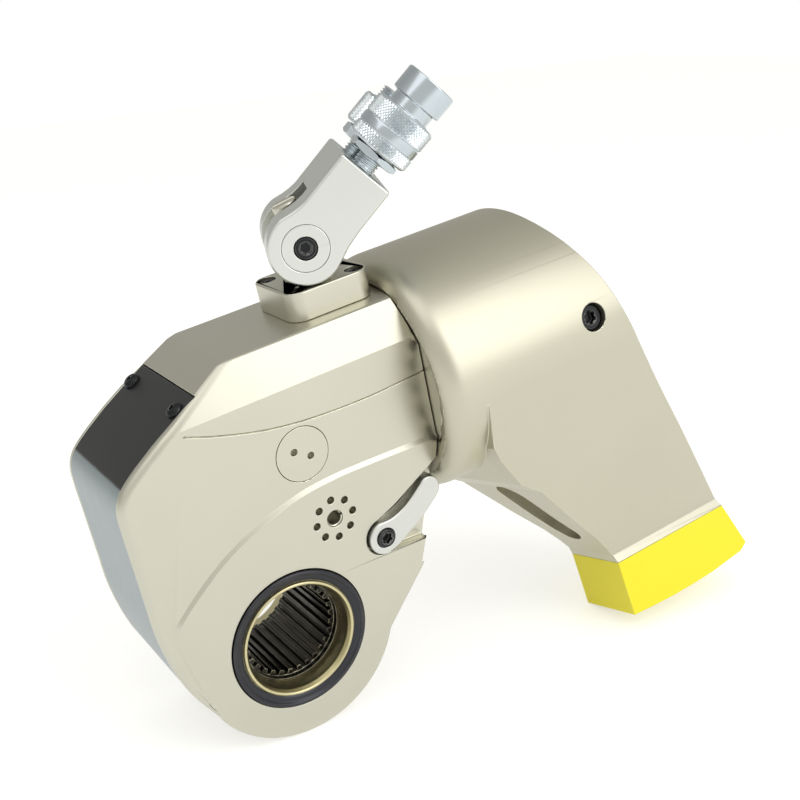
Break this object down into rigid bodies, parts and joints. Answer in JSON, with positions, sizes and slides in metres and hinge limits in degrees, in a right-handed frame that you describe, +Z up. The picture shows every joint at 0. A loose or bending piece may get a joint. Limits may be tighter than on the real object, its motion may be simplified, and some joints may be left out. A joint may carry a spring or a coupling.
{
  "type": "hydraulic torque wrench",
  "caption": "Square-drive hydraulic torque wrench: ratchet body with splined drive bore, swivel hose fork with couplers, and an indexing reaction arm with a yellow foot.",
  "frame": {"origin": "centre of the drive bore on the body's middle plane", "axes": "+X along the cylinder towards the reaction arm, +Y along the drive axis away from the side with the lever, +Z up towards the hose swivel"},
  "size_m": [0.319, 0.1232, 0.3129],
  "materials": {
    "satin_nickel": "satin champagne nickel",
    "arm_nickel": "satin champagne nickel, finely blasted",
    "black_sheet": "black satin",
    "grey_sheet": "light grey satin",
    "black_oxide": "black oxide",
    "ring_steel": "blued",
    "bronze": "machined bronze",
    "hard_steel": "hardened, oiled",
    "ground_steel": "ground",
    "rod_chrome": "hard chrome",
    "seal_rubber": "matte",
    "fork_silver": "satin nickel, soft edges",
    "lever_steel": "satin",
    "zinc": "bright zinc",
    "yellow_foot": "safety yellow"
  },
  "bodies": {
    "housing": {"main_housing": "satin_nickel", "front_shroud": "black_sheet", "lower_shroud": "grey_sheet", "shroud_screws": "black_oxide", "side_plug": "satin_nickel", "drive_bush_near": "bronze", "drive_bush_far": "bronze", "retaining_ring_near": "ring_steel", "retaining_ring_far": "ring_steel", "rod_gland": "bronze", "rod_seal": "seal_rubber", "cylinder_cap": "ground_steel", "cap_seal": "seal_rubber", "swivel_base": "satin_nickel", "base_screws": "black_oxide"},
    "ratchet": {"ratchet_wheel": "hard_steel"},
    "plates": {"drive_plate_near": "ground_steel", "drive_plate_far": "ground_steel", "drive_pawl": "hard_steel", "pawl_pin": "ground_steel"},
    "piston": {"piston": "ground_steel", "piston_seal": "seal_rubber", "piston_rod": "rod_chrome", "rod_pin": "ground_steel"},
    "lever": {"release_lever": "lever_steel", "lever_shaft": "ground_steel", "lever_screw": "black_oxide", "reaction_pawl": "hard_steel"},
    "post": {"swivel_post": "fork_silver", "post_seals": "seal_rubber", "post_ring": "ring_steel"},
    "fork": {"swivel_fork": "fork_silver", "fork_pin": "fork_silver", "pin_screws": "black_oxide", "coupler_body_near": "zinc", "coupler_body_far": "zinc"},
    "sleeve_near": {"coupler_sleeve_near": "zinc"},
    "sleeve_far": {"coupler_sleeve_far": "zinc"},
    "poppet_near": {"coupler_poppet_near": "ground_steel"},
    "poppet_far": {"coupler_poppet_far": "ground_steel"},
    "arm": {"reaction_arm": "arm_nickel", "arm_screw": "black_oxide", "foot_cover": "yellow_foot"}
  },
  "joints": [
    {"name": "piston_stroke", "type": "slide", "parent": "housing", "child": "piston", "axis": [-1, 0, 0], "range_m": [0, 0.0446]},
    {"name": "plate_swing", "type": "hinge", "parent": "housing", "child": "plates", "pos_m": [0, 0, 0], "axis": [0, 1, 0], "range_deg": [-28.1, 0.1]},
    {"name": "ratchet_spin", "type": "hinge", "parent": "housing", "child": "ratchet", "pos_m": [0, 0, 0], "axis": [0, 1, 0], "continuous": true},
    {"name": "lever_turn", "type": "hinge", "parent": "housing", "child": "lever", "pos_m": [0.053, 0, 0.03], "axis": [0, 1, 0], "range_deg": [0, 18], "stiffness_Nm_per_rad": 1.5, "springref_deg": -17.19},
    {"name": "swivel_yaw", "type": "hinge", "parent": "housing", "child": "post", "pos_m": [0.0625, 0, 0.145], "axis": [0, 0, 1], "continuous": true},
    {"name": "fork_pitch", "type": "hinge", "parent": "post", "child": "fork", "pos_m": [0.0625, 0, 0.1693], "axis": [0.3746, 0.9272, 0], "range_deg": [-136, 33]},
    {"name": "near_sleeve_turn", "type": "hinge", "parent": "fork", "child": "sleeve_near", "pos_m": [0.10123, -0.03128, 0.20905], "axis": [0.7306, -0.2952, 0.6157], "continuous": true},
    {"name": "far_sleeve_turn", "type": "hinge", "parent": "fork", "child": "sleeve_far", "pos_m": [0.11172, -0.00425, 0.20874], "axis": [0.7306, -0.2952, 0.6157], "continuous": true},
    {"name": "near_poppet_press", "type": "slide", "parent": "fork", "child": "poppet_near", "axis": [-0.7306, 0.2952, -0.6157], "range_m": [0, 0.004], "stiffness_N_per_m": 2000, "springref_m": -0.004},
    {"name": "far_poppet_press", "type": "slide", "parent": "fork", "child": "poppet_far", "axis": [-0.7306, 0.2952, -0.6157], "range_m": [0, 0.003], "stiffness_N_per_m": 2000, "springref_m": -0.003},
    {"name": "arm_draw", "type": "slide", "parent": "housing", "child": "arm", "axis": [1, 0, 0], "range_m": [0, 0.1]}
  ],
  "couplings": [
    {"joint": "plate_swing", "follows": "piston_stroke", "rad_per_m": -10.957}
  ]
}
